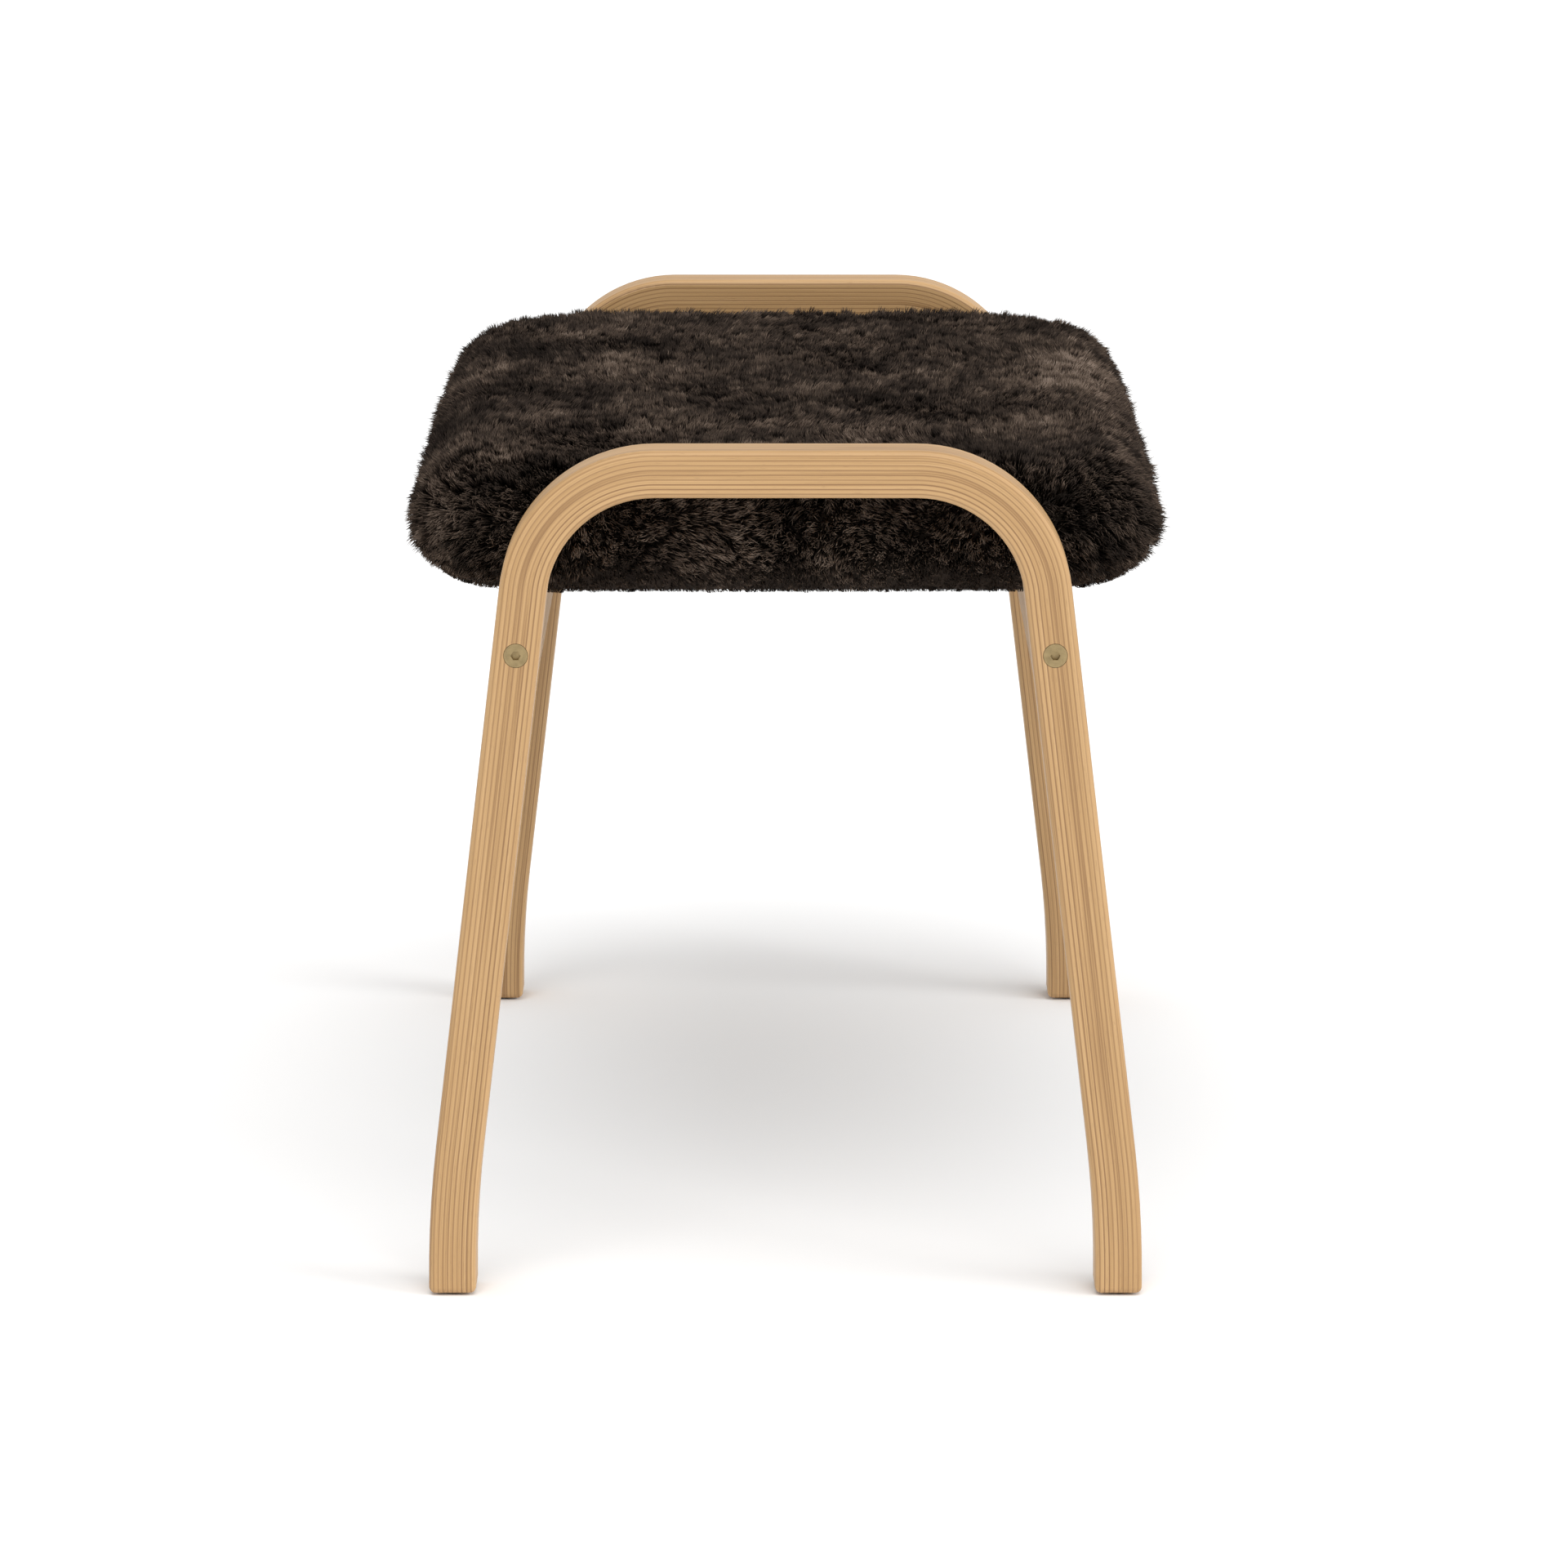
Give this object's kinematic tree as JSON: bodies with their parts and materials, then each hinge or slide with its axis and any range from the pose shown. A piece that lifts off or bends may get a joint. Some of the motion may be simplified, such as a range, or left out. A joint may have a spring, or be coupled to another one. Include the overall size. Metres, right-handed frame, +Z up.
{
  "type": "footstool",
  "caption": "Low upholstered footstool: a dark sheepskin-covered seat held between bent laminated wooden leg frames by bolted side rails.",
  "frame": {"origin": "on the floor, under the middle of the stool, in the plane of the four glides", "axes": "+Z up; +Y from the front leg frame to the rear one, along the seat's length; +X to the right, across the seat"},
  "size_m": [0.352, 0.6, 0.401],
  "materials": {
    "leg_wood": "satin",
    "rail_wood": "satin",
    "brass_bolt": "satin",
    "zinc_steel": "satin",
    "dowel_wood": "matte",
    "plywood": "matte",
    "foam": "matte",
    "wadding_fibre": "matte",
    "sheepskin": "matte",
    "staple_steel": "satin",
    "dust_cloth": "matte",
    "glide_nylon": "matte"
  },
  "bodies": {
    "root": {"front_leg_frame": "leg_wood", "rear_leg_frame": "leg_wood", "left_side_rail": "rail_wood", "right_side_rail": "rail_wood", "frame_bolts": "brass_bolt", "barrel_nuts": "zinc_steel", "locating_dowels": "dowel_wood", "seat_board": "plywood", "rail_screws": "zinc_steel", "foam_pad": "foam", "wadding": "wadding_fibre", "sheepskin_cover": "sheepskin", "cover_staples": "staple_steel", "dust_cover": "dust_cloth", "dust_cover_staples": "staple_steel", "front_left_glide": "glide_nylon", "front_right_glide": "glide_nylon", "rear_left_glide": "glide_nylon", "rear_right_glide": "glide_nylon"}
  },
  "joints": []
}
